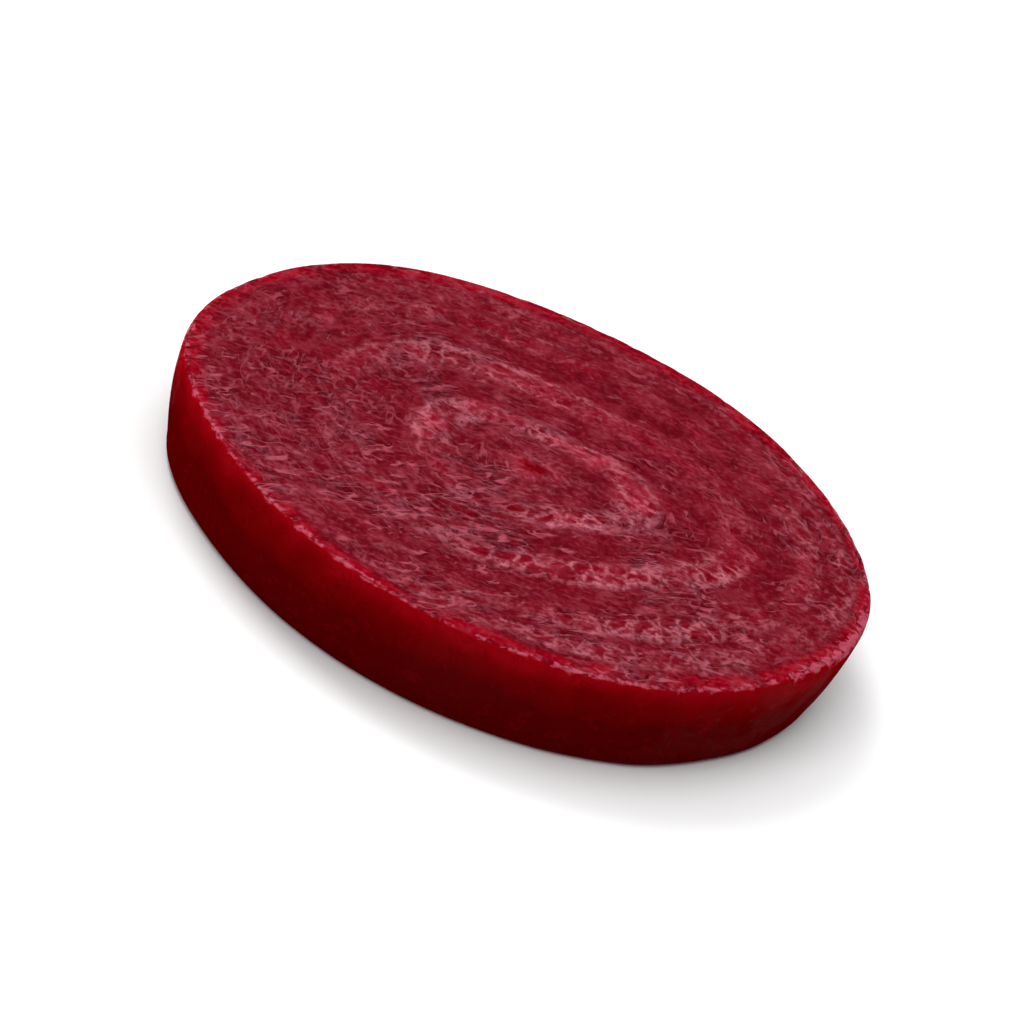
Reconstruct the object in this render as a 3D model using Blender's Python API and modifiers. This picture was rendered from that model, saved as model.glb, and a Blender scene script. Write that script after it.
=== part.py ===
"""A slice of cooked, peeled beetroot, cut across a globe-shaped root just below its widest part.

Metres, +Z up. The slice lies on its smaller cut face. The origin is on the surface that it lies
on, under the middle of its bounding box, and +X runs along its longest side.
"""

import math

import bpy

SLICE_LENGTH = 0.0615
SLICE_WIDTH = 0.0600
SLICE_THICKNESS = 0.0090

# The side is a band of the globe-shaped root, whose widest level lies just above the upper cut.
ROOT_RADIUS = SLICE_WIDTH / 2
WIDEST_LEVEL_ABOVE_CUT = 0.0010
UPPER_EDGE_RADIUS = 0.0005
LOWER_EDGE_RADIUS = 0.0010

# The peeler leaves shallow flats, so the outline is a circle with a few low lobes.
# Each lobe series is its count, its height as a share of the radius, and a crest's angle in degrees.
OUTLINE_LOBES = ((3, 0.0060, 35.0), (4, 0.0040, 14.0), (5, 0.0035, -16.0), (6, 0.0060, 6.0))

# Growth rings stand out of the upper face as beaded ridges.
# Each is its radius as a share of the outline, ridge height, half width as a share, and bead count.
GROWTH_RINGS = (
    (0.27, 0.00020, 0.045, 16),
    (0.55, 0.00024, 0.045, 32),
    (0.77, 0.00018, 0.035, 32),
    (0.89, 0.00014, 0.030, 64),
)
BEAD_SHARE = 0.45
COARSE_BEADS = 5 / 8
# The rings wander in and out by these shares of the outline, most of all half way to it.
RING_WANDER = ((1, 0.020, -110.0), (2, 0.045, 18.0), (3, 0.030, 17.0))
CORE_HEIGHT = 0.00018
CORE_SHARE = 0.055

# The knife leaves the upper face slightly wavy along its stroke.
KNIFE_WAVE_HEIGHT = 0.00012
KNIFE_WAVE_LENGTH = 0.0170
KNIFE_STROKE_ANGLE = 25.0
RELIEF_FADE = (0.93, 0.975)

SECTORS = 128
UPPER_FACE_STEPS = 27
SIDE_STEPS = 6
EDGE_STEPS = 3
UNDERSIDE_STEPS = 2

FLESH_COLOUR = (0.240, 0.004, 0.013, 1.0)
FLESH_ROUGHNESS = 0.38
MERGE_DISTANCE = 0.00001


def clear_scene():
    for old in list(bpy.data.objects):
        bpy.data.objects.remove(old, do_unlink=True)


def smooth_step(low, high, value):
    t = min(1.0, max(0.0, (value - low) / (high - low)))
    return t * t * (3.0 - 2.0 * t)


def wave_sum(series, angle):
    """The sum of cosine waves round the slice, each (count, height, crest angle in degrees)."""
    total = 0.0
    for count, height, crest in series:
        total += height * math.cos(count * (angle - math.radians(crest)))
    return total


def side_radius(height):
    """The globe's radius at a height above the underside."""
    below_widest = SLICE_THICKNESS + WIDEST_LEVEL_ABOVE_CUT - height
    return math.sqrt(ROOT_RADIUS**2 - below_widest**2)


def level_line(from_r, to_r, height, steps):
    """Points at one height from one radius to another, without the first point."""
    for step in range(1, steps + 1):
        yield from_r + (to_r - from_r) * step / steps, height


def quarter_arc(centre_r, centre_z, radius, from_degrees):
    """Points of a quarter circle turning clockwise from an angle, without its first point."""
    for step in range(1, EDGE_STEPS + 1):
        turn = math.radians(from_degrees - 90.0 * step / EDGE_STEPS)
        yield centre_r + radius * math.cos(turn), centre_z + radius * math.sin(turn)


def slice_profile():
    """The right half of a section through the slice, from the top centre to the bottom centre."""
    upper_flat = side_radius(SLICE_THICKNESS - UPPER_EDGE_RADIUS) - UPPER_EDGE_RADIUS
    lower_flat = side_radius(LOWER_EDGE_RADIUS) - LOWER_EDGE_RADIUS
    points = [(0.0, SLICE_THICKNESS)]
    points += level_line(0.0, upper_flat, SLICE_THICKNESS, UPPER_FACE_STEPS)
    points += quarter_arc(upper_flat, SLICE_THICKNESS - UPPER_EDGE_RADIUS, UPPER_EDGE_RADIUS, 90.0)
    side_height = SLICE_THICKNESS - UPPER_EDGE_RADIUS - LOWER_EDGE_RADIUS
    for step in range(1, SIDE_STEPS + 1):
        height = LOWER_EDGE_RADIUS + side_height * (1.0 - step / SIDE_STEPS)
        points.append((side_radius(height), height))
    points += quarter_arc(lower_flat, LOWER_EDGE_RADIUS, LOWER_EDGE_RADIUS, 0.0)
    points += level_line(lower_flat, 0.0, 0.0, UNDERSIDE_STEPS)
    return points


def turned_mesh(points):
    """The section turned about Z by a Screw modifier, as a plain mesh."""
    profile = bpy.data.meshes.new("slice_profile")
    edges = [(i, i + 1) for i in range(len(points) - 1)]
    profile.from_pydata([(r, 0.0, z) for r, z in points], edges, [])
    turning = bpy.data.objects.new("slice_profile", profile)
    bpy.context.scene.collection.objects.link(turning)
    screw = turning.modifiers.new("turn", "SCREW")
    screw.steps = SECTORS
    screw.render_steps = SECTORS
    screw.use_merge_vertices = True
    screw.merge_threshold = MERGE_DISTANCE
    bpy.context.view_layer.update()
    graph = bpy.context.evaluated_depsgraph_get()
    mesh = bpy.data.meshes.new_from_object(turning.evaluated_get(graph))
    bpy.data.objects.remove(turning, do_unlink=True)
    bpy.data.meshes.remove(profile)
    return mesh


def ring_relief(share, angle):
    """Height of the growth rings and the core above the cut, at a share of the outline's radius."""
    wander = wave_sum(RING_WANDER, angle)
    height = CORE_HEIGHT * math.exp(-((share / CORE_SHARE) ** 2))
    for ring_share, ridge, half_width, beads in GROWTH_RINGS:
        ring_at = ring_share + wander * 4.0 * ring_share * (1.0 - ring_share)
        shift = 2.0 * math.pi * ring_share
        fine = 0.5 + 0.5 * math.cos(beads * angle + shift)
        coarse = 0.5 + 0.5 * math.cos(beads * COARSE_BEADS * angle - shift)
        bead = 1.0 - BEAD_SHARE * (fine + coarse) / 2.0
        height += ridge * bead * math.exp(-(((share - ring_at) / half_width) ** 2))
    return height


def knife_relief(x, y):
    """Height of the low waves that run across the knife's stroke."""
    stroke = math.radians(KNIFE_STROKE_ANGLE)
    across = -x * math.sin(stroke) + y * math.cos(stroke)
    return KNIFE_WAVE_HEIGHT * math.sin(2.0 * math.pi * across / KNIFE_WAVE_LENGTH)


def shape_slice(mesh):
    """Gives the turned blank its lobed outline and raises the relief of its upper face."""
    for vertex in mesh.vertices:
        x, y, z = vertex.co
        angle = math.atan2(y, x)
        share = math.hypot(x, y) / ROOT_RADIUS
        stretch = 1.0 + wave_sum(OUTLINE_LOBES, angle) * share**2
        vertex.co.x = x * stretch
        vertex.co.y = y * stretch
        if z > SLICE_THICKNESS - MERGE_DISTANCE:
            fade = 1.0 - smooth_step(*RELIEF_FADE, share)
            vertex.co.z += fade * (ring_relief(share, angle) + knife_relief(x, y))


def fit_outline(mesh):
    """Scales the outline to its driving length and width, centred over the origin."""
    for axis, size in ((0, SLICE_LENGTH), (1, SLICE_WIDTH)):
        places = [vertex.co[axis] for vertex in mesh.vertices]
        low, high = min(places), max(places)
        for vertex in mesh.vertices:
            vertex.co[axis] = (vertex.co[axis] - (low + high) / 2) * size / (high - low)


def flesh_material():
    material = bpy.data.materials.new("beetroot_flesh")
    material.use_nodes = True
    shader = material.node_tree.nodes["Principled BSDF"]
    shader.inputs["Base Color"].default_value = FLESH_COLOUR
    shader.inputs["Roughness"].default_value = FLESH_ROUGHNESS
    shader.inputs["Metallic"].default_value = 0.0
    return material


def build_slice():
    mesh = turned_mesh(slice_profile())
    mesh.name = "beetroot_slice"
    shape_slice(mesh)
    fit_outline(mesh)
    mesh.materials.append(flesh_material())
    mesh.shade_smooth()
    part = bpy.data.objects.new("beetroot_slice", mesh)
    collection = bpy.data.collections.new("beetroot_slice")
    bpy.context.scene.collection.children.link(collection)
    collection.objects.link(part)
    return part


clear_scene()
build_slice()
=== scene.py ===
"""Looks of one slice of cooked, peeled beetroot: wet cut faces with growth rings, and a smooth peeled side.

Metres, +Z up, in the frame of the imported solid. The slice lies on its smaller cut face.
"""

import itertools
import math
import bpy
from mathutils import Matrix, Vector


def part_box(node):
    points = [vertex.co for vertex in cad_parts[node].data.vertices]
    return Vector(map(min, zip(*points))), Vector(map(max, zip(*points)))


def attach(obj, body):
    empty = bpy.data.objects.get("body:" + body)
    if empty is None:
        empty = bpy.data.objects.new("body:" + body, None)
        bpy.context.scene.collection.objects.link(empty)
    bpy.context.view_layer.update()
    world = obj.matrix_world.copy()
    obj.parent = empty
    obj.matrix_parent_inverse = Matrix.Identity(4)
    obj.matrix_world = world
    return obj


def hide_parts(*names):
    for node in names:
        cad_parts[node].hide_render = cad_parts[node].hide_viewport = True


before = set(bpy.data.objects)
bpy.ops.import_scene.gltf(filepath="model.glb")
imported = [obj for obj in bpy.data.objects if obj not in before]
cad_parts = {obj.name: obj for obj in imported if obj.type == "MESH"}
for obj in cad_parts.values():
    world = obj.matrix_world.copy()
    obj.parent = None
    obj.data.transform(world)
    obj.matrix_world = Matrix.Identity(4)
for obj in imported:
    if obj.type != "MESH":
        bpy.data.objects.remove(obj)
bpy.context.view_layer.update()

from types import SimpleNamespace

import bpy
import numpy as np
from mathutils import Quaternion, Vector

NODE = "beetroot_slice"
node_low, node_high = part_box(NODE)

MM = 0.001

# The slice's form, with the same values as the solid.
SLICE_WIDTH = node_high.y - node_low.y
SLICE_THICKNESS = 9.0 * MM
ROOT_RADIUS = SLICE_WIDTH / 2
WIDEST_LEVEL_ABOVE_CUT = 1.0 * MM
UPPER_EDGE_RADIUS = 0.5 * MM
LOWER_EDGE_RADIUS = 1.0 * MM

# Each lobe series is its count, its height as a share of the radius, and a crest's angle in degrees.
OUTLINE_LOBES = ((3, 0.0060, 35.0), (4, 0.0040, 14.0), (5, 0.0035, -16.0), (6, 0.0060, 6.0))
# Each ring is its radius as a share of the outline, ridge height, and half width as a share.
GROWTH_RINGS = (
    (0.27, 0.20 * MM, 0.045),
    (0.55, 0.24 * MM, 0.045),
    (0.77, 0.18 * MM, 0.035),
    (0.89, 0.14 * MM, 0.030),
)
# How clear the pale lines are at the inner and the outer edge of each ring.
RING_LINES = ((0.6, 1.0), (0.4, 0.9), (0.2, 0.5), (0.1, 0.4))
# The rings are clear along these arcs and faint elsewhere.
# Each arc is its middle and half angle in degrees, and how clear the ring is there.
CLEAR_ARCS = (
    ((-45.0, 55.0, 1.0), (30.0, 60.0, 0.8), (100.0, 45.0, 0.7), (165.0, 40.0, 0.8)),
    ((-60.0, 45.0, 1.0), (-15.0, 25.0, 1.0), (110.0, 45.0, 0.75)),
    ((-45.0, 30.0, 0.8), (10.0, 30.0, 0.5), (100.0, 35.0, 0.45)),
    ((-70.0, 45.0, 0.6), (10.0, 30.0, 0.5), (90.0, 40.0, 0.35)),
)
FAINT_RING = 0.15
# The rings wander in and out by these shares of the outline, most of all half way to it.
RING_WANDER = ((1, 0.020, -110.0), (2, 0.045, 18.0), (3, 0.030, 17.0))
# A ring's beads and clearness fade over this many half widths from its middle.
RING_REACH = 2.0
# A ridge is the first share of its height without beads, and beads change it by up to the second.
RIDGE_BEADING = (0.75, 0.5)
CORE_HEIGHT = 0.18 * MM
CORE_SHARE = 0.055
KNIFE_WAVE_HEIGHT = 0.12 * MM
KNIFE_WAVE_LENGTH = 17.0 * MM
KNIFE_STROKE_ANGLE = math.radians(25.0)
SCORE_ANGLE = math.radians(35.0)
# The relief fades to nothing between these shares of the outline.
RELIEF_FADE = (0.93, 0.985)

# Veins cross the rings and bead them. The beads weaken where no ring is at least this near.
VEIN_SPACING = 1.0 * MM
VEIN_DRIFT = 0.7
VEIN_SLANT = 1.0
VEIN_STRAY = 0.5 * MM
VEIN_WEIGHTS = (0.7, 0.5)
LEAST_NEARNESS = 0.3
# Strands run round the rings. Like all that follows, they are on the dense surface alone.
STRAND_CELL = 1.9 * MM
STRAND_STRETCH = 2.4
STRAND_WIDTH = 0.6
STRAND_HEIGHT = 0.17 * MM
# Scores follow the knife. Towards the front they fade in between two shares of the radius, and hide strands.
SCORE_LENGTH = 2.4 * MM
SCORE_WIDTH = 0.7 * MM
SCORE_CREST_WIDTH = 0.35
SCORED_FROM = 0.35
SCORED_TO = -0.25
SCORE_HEIGHT = 0.15 * MM
STRANDS_HIDDEN = 0.6
PULP_CELL = 0.5 * MM
PULP_HEIGHT = 0.04 * MM
UNDERSIDE_DEPTH = 0.14 * MM
SIDE_WAVE_CELL = 6.0 * MM
SIDE_WAVE_HEIGHT = 0.12 * MM

# The pits along a ring lean as they cross it, and are stretched across it a little.
PIT_SLANT = 0.4
PIT_DRIFT = 0.85

# Fibres lie thickest in some patches of the face and are missing from others.
# Each patch is its place as a share and an angle in degrees, its reach, and how much it adds.
FIBRE_PATCHES = (
    (0.70, -150.0, 9.0 * MM, 0.40),
    (0.52, -110.0, 5.0 * MM, 0.40),
    (0.30, -100.0, 5.0 * MM, 0.40),
    (0.30, 155.0, 3.5 * MM, 0.40),
    (0.56, 138.0, 5.0 * MM, 0.40),
    (0.50, -39.0, 4.5 * MM, 0.30),
    (0.36, -8.0, 3.5 * MM, 0.30),
    (0.85, -50.0, 7.0 * MM, 0.20),
    (0.66, 48.0, 6.0 * MM, -0.15),
    (0.26, 24.0, 3.0 * MM, -0.50),
    (0.82, 10.0, 7.0 * MM, -0.12),
    (0.42, -50.0, 3.0 * MM, -0.30),
    (0.65, 75.0, 8.0 * MM, -0.45),
    (0.92, 85.0, 14.0 * MM, -0.45),
    (0.75, 178.0, 7.0 * MM, -0.08),
)
FIBRE_DENSITY = 0.32
RING_EDGE_DENSITY = 0.38
RING_EDGE_REACH = 0.4
# The density also varies at random in large patches, with small ones over them.
DENSITY_CELL = 3.5 * MM
DENSITY_SPREAD = 0.32
FINE_DENSITY_CELL = 0.45 * DENSITY_CELL
FINE_DENSITY_SPREAD = 0.6 * DENSITY_SPREAD

# A thin pale line runs along each edge of a ring, wavy and broken.
RING_LINE_SHARE = 0.013
RING_LINE_WAVE = 0.012
RING_LINE_WAVE_CELL = 1.2 * MM
RING_LINE_GAP_CELL = 5.0 * MM
RING_LINE_GAPS = (-0.6, 0.0)
RING_LINE_HEIGHT = 0.06 * MM

# Fine spokes run out from the core. They are crowded round it, and stretched along their length.
SPOKE_CELL = 0.75 * MM
SPOKE_SHARE = 0.13
SPOKE_CROWDING = 4.0
SPOKE_STRETCH = 0.3
SPOKE_WIDTH = 0.5
SPOKE_PALENESS = 0.5

# Juice stands on the side in these places, each an angle, a half angle, a height share, and how wet it is.
WET_PLACES = (
    (math.radians(-174.0), math.radians(5.0), 0.90, 0.60),
    (math.radians(-42.0), math.radians(18.0), 0.55, 0.12),
)
WET_HEIGHT = 0.30

# The knife tore small nicks out of the upper edge, larger ones round the right-hand end.
RIM_REACH = 0.45 * MM
RIM_NICK_CELL = 0.9 * MM
RIM_NICK_DEPTH = 0.06 * MM
TORN_NICK_DEPTH = 0.45 * MM
TORN_ANGLE = math.radians(-8.0)
TORN_HALF_ANGLE = math.radians(18.0)
NICK_DROP = 0.7

FACE_RINGS = 136
COLUMNS = 6 * FACE_RINGS
EDGE_ROWS = 4
SIDE_ROWS = 18
LAST_SIDE_ROW = FACE_RINGS + 2 * EDGE_ROWS + SIDE_ROWS
UNDERSIDE_RINGS = FACE_RINGS // 2

LATTICE_SIDE = 32
SEED = 7

# The photo looks down on the slice at this angle, and the slice leans, so the camera is rolled.
VIEW_ELEVATION = math.radians(27.7)
VIEW_ROLL = math.radians(24.7)
VIEW_DISTANCE = 0.50
NEAREST_SEEN = 0.01
SENSOR_WIDTH = 36.0
SLICE_SHARE_OF_FRAME = 0.72

# Each softbox is its name, place, width and power.
SOFTBOXES = (
    ("overhead_softbox", (0.00, 0.10, 0.85), 1.0, 7.0),
    ("back_left_softbox", (-0.40, 0.35, 0.60), 0.35, 3.0),
    ("front_softbox", (-0.20, -0.64, 0.55), 0.6, 3.5),
)
SURROUNDINGS_STRENGTH = 0.10
FLOOR_RADIUS = 3.0
FLOOR_CELL = 25.0 * MM


def smooth_step(low, high, value):
    t = np.clip((value - low) / (high - low), 0.0, 1.0)
    return t * t * (3.0 - 2.0 * t)


def bell(distance, reach):
    return np.exp(-((distance / reach) ** 2))


def turn_from(middle, angle):
    """The turn from a middle angle to each angle, at most half a circle either way."""
    return (angle - middle + math.pi) % (2.0 * math.pi) - math.pi


def wave_sum(series, angle):
    """The sum of cosine waves round the slice, each (count, height, crest angle in degrees)."""
    return sum(height * np.cos(count * (angle - math.radians(crest))) for count, height, crest in series)


def flat_points(x, y):
    """Places in the plane of the cut, for noise that doesn't change with height."""
    return np.stack([x, y, np.zeros_like(x)], axis=1)


def smooth_noise(points, cell, seed):
    """Random values from -1 to 1 a cell apart, joined by smooth curves."""
    lattice = np.random.default_rng(seed).uniform(-1.0, 1.0, (LATTICE_SIDE,) * 3)
    corner = np.floor(points / cell).astype(int)
    share = points / cell - corner
    share = share * share * (3.0 - 2.0 * share)
    total = np.zeros(len(points))
    for step in itertools.product((0, 1), repeat=3):
        weight = np.prod(np.where(step, share, 1.0 - share), axis=1)
        total += weight * lattice[tuple(((corner + step) % LATTICE_SIDE).T)]
    return total


def ridges(noise, width):
    """1 along the lines where a noise is zero, falling to 0 at a width on either side."""
    return np.clip(1.0 - np.abs(noise) / width, 0.0, 1.0)


def side_radius(height):
    """The globe's radius at a height above the underside."""
    below_widest = SLICE_THICKNESS + WIDEST_LEVEL_ABOVE_CUT - height
    return math.sqrt(ROOT_RADIUS**2 - below_widest**2)


UPPER_FLAT = side_radius(SLICE_THICKNESS - UPPER_EDGE_RADIUS) - UPPER_EDGE_RADIUS
LOWER_FLAT = side_radius(LOWER_EDGE_RADIUS) - LOWER_EDGE_RADIUS


def quarter_arc(centre_r, centre_z, radius, from_degrees):
    """Points of a quarter circle turning clockwise from an angle, without its first point."""
    for step in range(1, EDGE_ROWS + 1):
        turn = math.radians(from_degrees - 90.0 * step / EDGE_ROWS)
        yield centre_r + radius * math.cos(turn), centre_z + radius * math.sin(turn)


def side_section():
    """Radius and height down the slice's side, from the upper face's rim to the underside's."""
    rows = list(quarter_arc(UPPER_FLAT, SLICE_THICKNESS - UPPER_EDGE_RADIUS, UPPER_EDGE_RADIUS, 90.0))
    side_height = SLICE_THICKNESS - UPPER_EDGE_RADIUS - LOWER_EDGE_RADIUS
    for step in range(1, SIDE_ROWS + 1):
        height = LOWER_EDGE_RADIUS + side_height * (1.0 - step / SIDE_ROWS)
        rows.append((side_radius(height), height))
    rows += quarter_arc(LOWER_FLAT, LOWER_EDGE_RADIUS, LOWER_EDGE_RADIUS, 0.0)
    return rows


def section_rows():
    """Every row of points round the slice, as (radius, height, number of points)."""
    rows = []
    for ring in range(FACE_RINGS + 1):
        rows.append((UPPER_FLAT * ring / FACE_RINGS, SLICE_THICKNESS, max(1, 6 * ring)))
    rows += [(radius, height, COLUMNS) for radius, height in side_section()]
    for ring in range(UNDERSIDE_RINGS, -1, -1):
        rows.append((LOWER_FLAT * ring / (UNDERSIDE_RINGS + 1), 0.0, max(1, 6 * ring)))
    return rows


def closed_row(first, count):
    """The indices of a row of points, with its first one again at the end."""
    return first + np.arange(count + 1) % count


def fan_faces(inner, outer, ring):
    """Triangles between a row of 6 * ring points and the next one, which has 6 more."""
    faces = []
    for sextant in range(6):
        i = inner[sextant * ring : sextant * ring + ring + 1]
        o = outer[sextant * (ring + 1) : sextant * (ring + 1) + ring + 2]
        faces.append(np.stack([i, o[:-1], o[1:]], axis=1))
        faces.append(np.stack([i[:-1], o[1:-1], i[1:]], axis=1))
    return np.concatenate(faces)


def halving_faces(inner, outer):
    """Triangles between a row of points and an outer one with twice as many."""
    return np.concatenate([
        np.stack([inner[:-1], outer[:-2:2], outer[1:-1:2]], axis=1),
        np.stack([inner[:-1], outer[1:-1:2], inner[1:]], axis=1),
        np.stack([inner[1:], outer[1:-1:2], outer[2::2]], axis=1),
    ])


def band_faces(upper, lower):
    """Triangles between two rows of as many points, facing outwards."""
    return np.concatenate([
        np.stack([upper[:-1], lower[:-1], lower[1:]], axis=1),
        np.stack([upper[:-1], lower[1:], upper[1:]], axis=1),
    ])


def slice_faces(rows):
    """(triangles, material of each): 0 on the cut faces, 1 on the peeled side."""
    firsts = np.cumsum([0] + [count for _, _, count in rows])
    loops = [closed_row(first, count) for first, (_, _, count) in zip(firsts, rows)]
    cut, side = [], []
    for ring in range(FACE_RINGS):
        cut.append(fan_faces(loops[ring], loops[ring + 1], ring))
    for row in range(FACE_RINGS, LAST_SIDE_ROW):
        near_cut = row < FACE_RINGS + EDGE_ROWS // 2 or row >= LAST_SIDE_ROW - EDGE_ROWS // 2
        (cut if near_cut else side).append(band_faces(loops[row], loops[row + 1]))
    cut.append(halving_faces(loops[LAST_SIDE_ROW + 1], loops[LAST_SIDE_ROW])[:, ::-1])
    for ring in range(UNDERSIDE_RINGS):
        cut.append(fan_faces(loops[-1 - ring], loops[-2 - ring], ring)[:, ::-1])
    cut, side = np.concatenate(cut), np.concatenate(side)
    return np.concatenate([cut, side]), np.repeat([0, 1], [len(cut), len(side)])


def ring_shares(share, angle):
    """The share that each point would have if the rings were true circles."""
    wander = 4.0 * wave_sum(RING_WANDER, angle)
    true_share = share
    for _ in range(4):
        true_share = share - wander * true_share * (1.0 - true_share)
    return true_share


def vein_beads(x, y, true_share, angle):
    """From -1 to 1 along each ring, nearly the same all across it."""
    stray = VEIN_STRAY * smooth_noise(flat_points(x, y), VEIN_SPACING, SEED + 9)
    coarse_weight, fine_weight = VEIN_WEIGHTS
    beads = np.zeros(len(angle))
    total = np.zeros(len(angle))
    for number, (ring_share, _, half_width) in enumerate(GROWTH_RINGS):
        along = ring_share * ROOT_RADIUS
        across = (true_share - ring_share) * ROOT_RADIUS * VEIN_DRIFT
        turned = angle + VEIN_SLANT * (true_share - ring_share) / ring_share
        on_ring = np.stack([along * np.cos(turned), along * np.sin(turned), across], axis=1)
        on_ring += np.stack([stray, -stray, stray], axis=1)
        coarse = smooth_noise(on_ring, VEIN_SPACING, SEED + 10 + number)
        fine = smooth_noise(on_ring, VEIN_SPACING / 2, SEED + 14 + number)
        nearness = bell(true_share - ring_share, RING_REACH * half_width)
        beads += nearness * (coarse_weight * coarse + fine_weight * fine)
        total += nearness
    return beads / np.maximum(total, LEAST_NEARNESS)


def vein_space(true_share, angle):
    """Places along the nearest ring and across it, so that what is drawn there crosses the ring."""
    middles = np.array([ring_share for ring_share, _, _ in GROWTH_RINGS])
    nearest = middles[np.abs(true_share[:, None] - middles).argmin(axis=1)]
    across = true_share - nearest
    turned = angle + PIT_SLANT * across / nearest
    along = nearest * ROOT_RADIUS
    outwards = PIT_DRIFT * across * ROOT_RADIUS
    return np.stack([along * np.cos(turned), along * np.sin(turned), outwards], axis=1)


def arc_clearness(arcs, angle):
    """How clear a ring is round the slice: full in the middle of its arcs, falling off to a faint rest."""
    clear = np.zeros(len(angle))
    for middle, half_angle, clearest in arcs:
        turn = turn_from(math.radians(middle), angle)
        clear = np.maximum(clear, clearest * bell(turn, math.radians(half_angle)))
    return FAINT_RING + (1.0 - FAINT_RING) * clear


def ring_clearness(true_share, angle):
    """How clear the nearest growth ring is at each place."""
    total = np.zeros(len(angle))
    weights = np.full(len(angle), 1.0e-6)
    for (ring_share, _, half_width), arcs in zip(GROWTH_RINGS, CLEAR_ARCS):
        nearness = bell(true_share - ring_share, RING_REACH * half_width)
        total += nearness * arc_clearness(arcs, angle)
        weights += nearness
    return total / weights


def ring_relief(true_share, beads):
    """Height of the growth rings and the core above the cut."""
    height = CORE_HEIGHT * bell(true_share, CORE_SHARE)
    unbeaded, beaded = RIDGE_BEADING
    for ring_share, ridge, half_width in GROWTH_RINGS:
        height += ridge * (unbeaded + beaded * beads) * bell(true_share - ring_share, half_width)
    return height


def knife_relief(x, y):
    """Height of the low waves that run across the knife's stroke."""
    across = -x * math.sin(KNIFE_STROKE_ANGLE) + y * math.cos(KNIFE_STROKE_ANGLE)
    return KNIFE_WAVE_HEIGHT * np.sin(2.0 * math.pi * across / KNIFE_WAVE_LENGTH)


def ring_lines(x, y, true_share):
    """1 along the wavy, broken lines at the edges of the growth rings, falling to 0 beside them."""
    points = flat_points(x, y)
    wavy_share = true_share + RING_LINE_WAVE * smooth_noise(points, RING_LINE_WAVE_CELL, SEED + 7)
    edges = []
    for ring_share, _, half_width in GROWTH_RINGS:
        edges += [ring_share - half_width, ring_share + half_width]
    lines = np.zeros(len(x))
    for number, (edge, clearness) in enumerate(zip(edges, itertools.chain(*RING_LINES))):
        unbroken = smooth_step(*RING_LINE_GAPS, smooth_noise(points, RING_LINE_GAP_CELL, SEED + 20 + number))
        lines = np.maximum(lines, clearness * bell(wavy_share - edge, RING_LINE_SHARE) * unbroken)
    return lines


def rim_highlight_tint(x, y, from_rim, angle):
    """How pale the ragged upper edge is painted, up to 1 at its torn end: partly pale torn flesh, partly a
    painted highlight along the edge.
    """
    raggedness = smooth_step(-0.5, 0.5, smooth_noise(flat_points(x, y), RIM_NICK_CELL, SEED + 3))
    torn = bell(angle - TORN_ANGLE, TORN_HALF_ANGLE)
    reach = RIM_REACH * (0.5 + 0.2 * raggedness + torn)
    return bell(from_rim, reach) * (0.2 + 0.4 * raggedness + 0.4 * torn)


def fibre_density(x, y, true_share, clearness):
    """How thick the fibres lie at each place, mostly between 0 and 1."""
    points = flat_points(x, y)
    density = FIBRE_DENSITY + DENSITY_SPREAD * smooth_noise(points, DENSITY_CELL, SEED + 6)
    density += FINE_DENSITY_SPREAD * smooth_noise(points, FINE_DENSITY_CELL, SEED + 18)
    for ring_share, _, half_width in GROWTH_RINGS:
        from_edge = np.abs(true_share - ring_share) - half_width
        density += RING_EDGE_DENSITY * clearness * bell(from_edge, RING_EDGE_REACH * half_width)
    for share, turn, reach, gain in FIBRE_PATCHES:
        patch_x = share * ROOT_RADIUS * math.cos(math.radians(turn))
        patch_y = share * ROOT_RADIUS * math.sin(math.radians(turn))
        density += gain * bell(np.hypot(x - patch_x, y - patch_y), reach)
    return density


def strand_crests(ring_space):
    """1 along the crests of the strands that run round the rings, falling to 0 between them."""
    coarse = smooth_noise(ring_space, STRAND_CELL, SEED)
    fine = smooth_noise(ring_space, STRAND_CELL / 2, SEED + 1)
    return ridges(coarse + 0.5 * fine, STRAND_WIDTH)


def score_crests(x, y):
    """1 along the crests that the knife's edge dragged up, falling to 0 between them."""
    turn_cos, turn_sin = math.cos(SCORE_ANGLE), math.sin(SCORE_ANGLE)
    along, across = x * turn_cos + y * turn_sin, y * turn_cos - x * turn_sin
    points = flat_points(along / SCORE_LENGTH, across / SCORE_WIDTH)
    return ridges(smooth_noise(points, 1.0, SEED + 5), SCORE_CREST_WIDTH)


def spoke_crests(true_share, angle):
    """1 along the crests of the spokes round the core, falling to 0 between them and further out."""
    around = SPOKE_CROWDING * SPOKE_SHARE * ROOT_RADIUS
    outwards = SPOKE_STRETCH * true_share * ROOT_RADIUS
    points = np.stack([around * np.cos(angle), around * np.sin(angle), outwards], axis=1)
    near_core = bell(true_share, SPOKE_SHARE) * smooth_step(0.6 * CORE_SHARE, CORE_SHARE, true_share)
    return ridges(smooth_noise(points, SPOKE_CELL, SEED + 8), SPOKE_WIDTH) * near_core


def pulp_relief(x, y, z):
    """Fine grain of the cut flesh, between -1 and 1."""
    return smooth_noise(np.stack([x, y, z], axis=1), PULP_CELL, SEED + 2)


def side_wave(x, y, z):
    """How far the peeled side swells out or sinks in."""
    return SIDE_WAVE_HEIGHT * smooth_noise(np.stack([x, y, z], axis=1), SIDE_WAVE_CELL, SEED + 4)


def wetness(angle, z):
    """How much juice stands on each place of the side."""
    total = np.zeros(len(angle))
    for place, half_angle, height_share, amount in WET_PLACES:
        at_height = bell(z / SLICE_THICKNESS - height_share, WET_HEIGHT)
        total += amount * bell(turn_from(place, angle), half_angle) * at_height
    return total


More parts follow.
